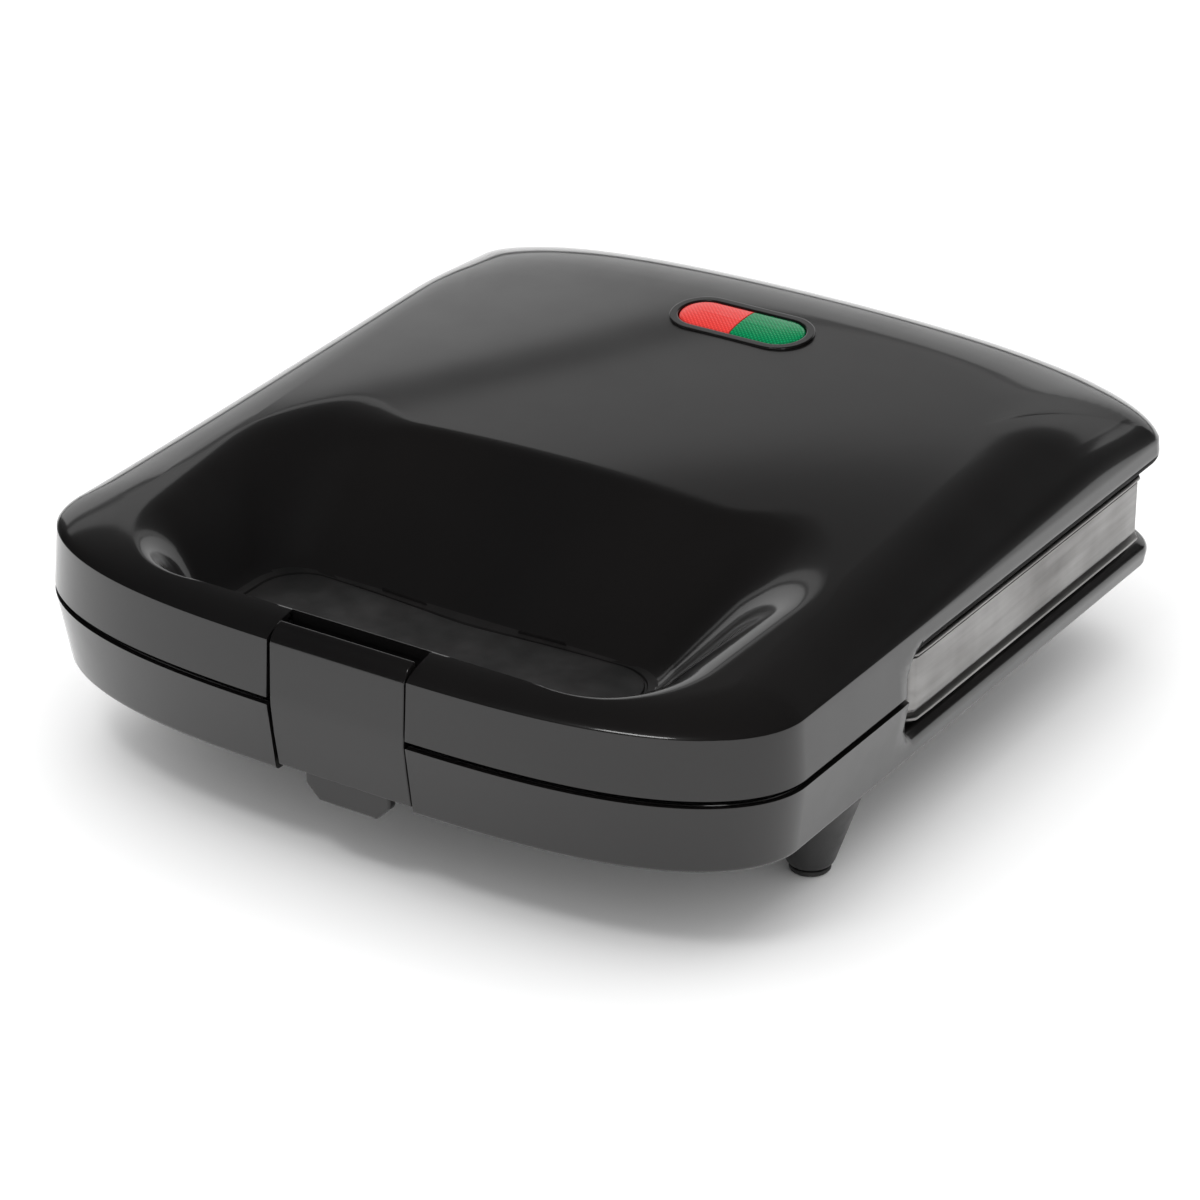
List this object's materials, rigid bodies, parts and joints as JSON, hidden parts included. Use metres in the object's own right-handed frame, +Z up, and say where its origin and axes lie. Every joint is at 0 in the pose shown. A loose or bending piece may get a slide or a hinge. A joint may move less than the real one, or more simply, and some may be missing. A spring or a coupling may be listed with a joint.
{
  "type": "donut maker",
  "caption": "Tabletop ring-cake maker: hinged glossy lid with a handle recess and lamp window, front latch, and facing non-stick ring-mould plates on cone feet.",
  "frame": {"origin": "on the table, under the middle of the body's outline", "axes": "+Z up, the latch and the handle face -Y, the hinge is at +Y, +X to the right seen from the front"},
  "size_m": [0.242, 0.2615, 0.0916],
  "materials": {
    "gloss_black": "high-gloss moulded black",
    "satin_black": "satin moulded black",
    "rubber_black": "matt rubber",
    "nonstick": "dark grey non-stick coating on cast aluminium",
    "element_steel": "sheathed steel",
    "sheet_metal": "aluminised sheet",
    "bright_steel": "zinc plated",
    "phenolic_brown": "phenolic moulding",
    "terminal_white": "nylon",
    "red_lens": "clear tinted lens over a dotted back",
    "green_lens": "clear tinted lens over a dotted back",
    "lamp_glass": "glow lamp glass"
  },
  "bodies": {
    "base": {"base_housing": "gloss_black", "base_frame": "satin_black", "front_left_foot": "satin_black", "front_right_foot": "satin_black", "rear_left_foot": "satin_black", "rear_right_foot": "satin_black", "front_left_foot_pad": "rubber_black", "front_right_foot_pad": "rubber_black", "rear_left_foot_pad": "rubber_black", "rear_right_foot_pad": "rubber_black", "cord_inlet_bush": "rubber_black", "lower_plate": "nonstick", "lower_heating_element": "element_steel", "thermal_fuse": "element_steel", "lower_heat_shield": "sheet_metal", "thermostat_bracket": "sheet_metal", "hinge_pin_left": "bright_steel", "hinge_pin_right": "bright_steel", "thermostat": "phenolic_brown", "terminal_block": "terminal_white", "lower_plate_screw_1": "bright_steel", "lower_plate_screw_2": "bright_steel", "lower_plate_screw_3": "bright_steel", "lower_plate_screw_4": "bright_steel", "frame_screw_1": "bright_steel", "frame_screw_2": "bright_steel", "frame_screw_3": "bright_steel", "frame_screw_4": "bright_steel"},
    "lid": {"upper_cover": "gloss_black", "indicator_bezel": "gloss_black", "lid_front_liner": "satin_black", "lid_hinge_frame": "satin_black", "lamp_holder": "satin_black", "red_lens": "red_lens", "green_lens": "green_lens", "red_lamp": "lamp_glass", "green_lamp": "lamp_glass", "upper_plate": "nonstick", "upper_heating_element": "element_steel", "upper_heat_shield": "sheet_metal", "latch_pin": "bright_steel", "latch_spring": "bright_steel", "upper_plate_screw_1": "bright_steel", "upper_plate_screw_2": "bright_steel", "upper_plate_screw_3": "bright_steel", "upper_plate_screw_4": "bright_steel", "shield_screw_1": "bright_steel", "shield_screw_2": "bright_steel", "shield_screw_3": "bright_steel", "shield_screw_4": "bright_steel", "liner_screw_1": "bright_steel", "liner_screw_2": "bright_steel", "liner_screw_3": "bright_steel", "liner_screw_4": "bright_steel"},
    "latch": {"latch": "gloss_black"}
  },
  "joints": [
    {"name": "lid_hinge", "type": "hinge", "parent": "base", "child": "lid", "pos_m": [0, 0.119, 0.05], "axis": [-1, 0, 0], "range_deg": [0, 100]},
    {"name": "latch_pivot", "type": "hinge", "parent": "lid", "child": "latch", "pos_m": [0, -0.123, 0.0615], "axis": [-1, 0, 0], "range_deg": [0, 20], "stiffness_Nm_per_rad": 0.12}
  ]
}
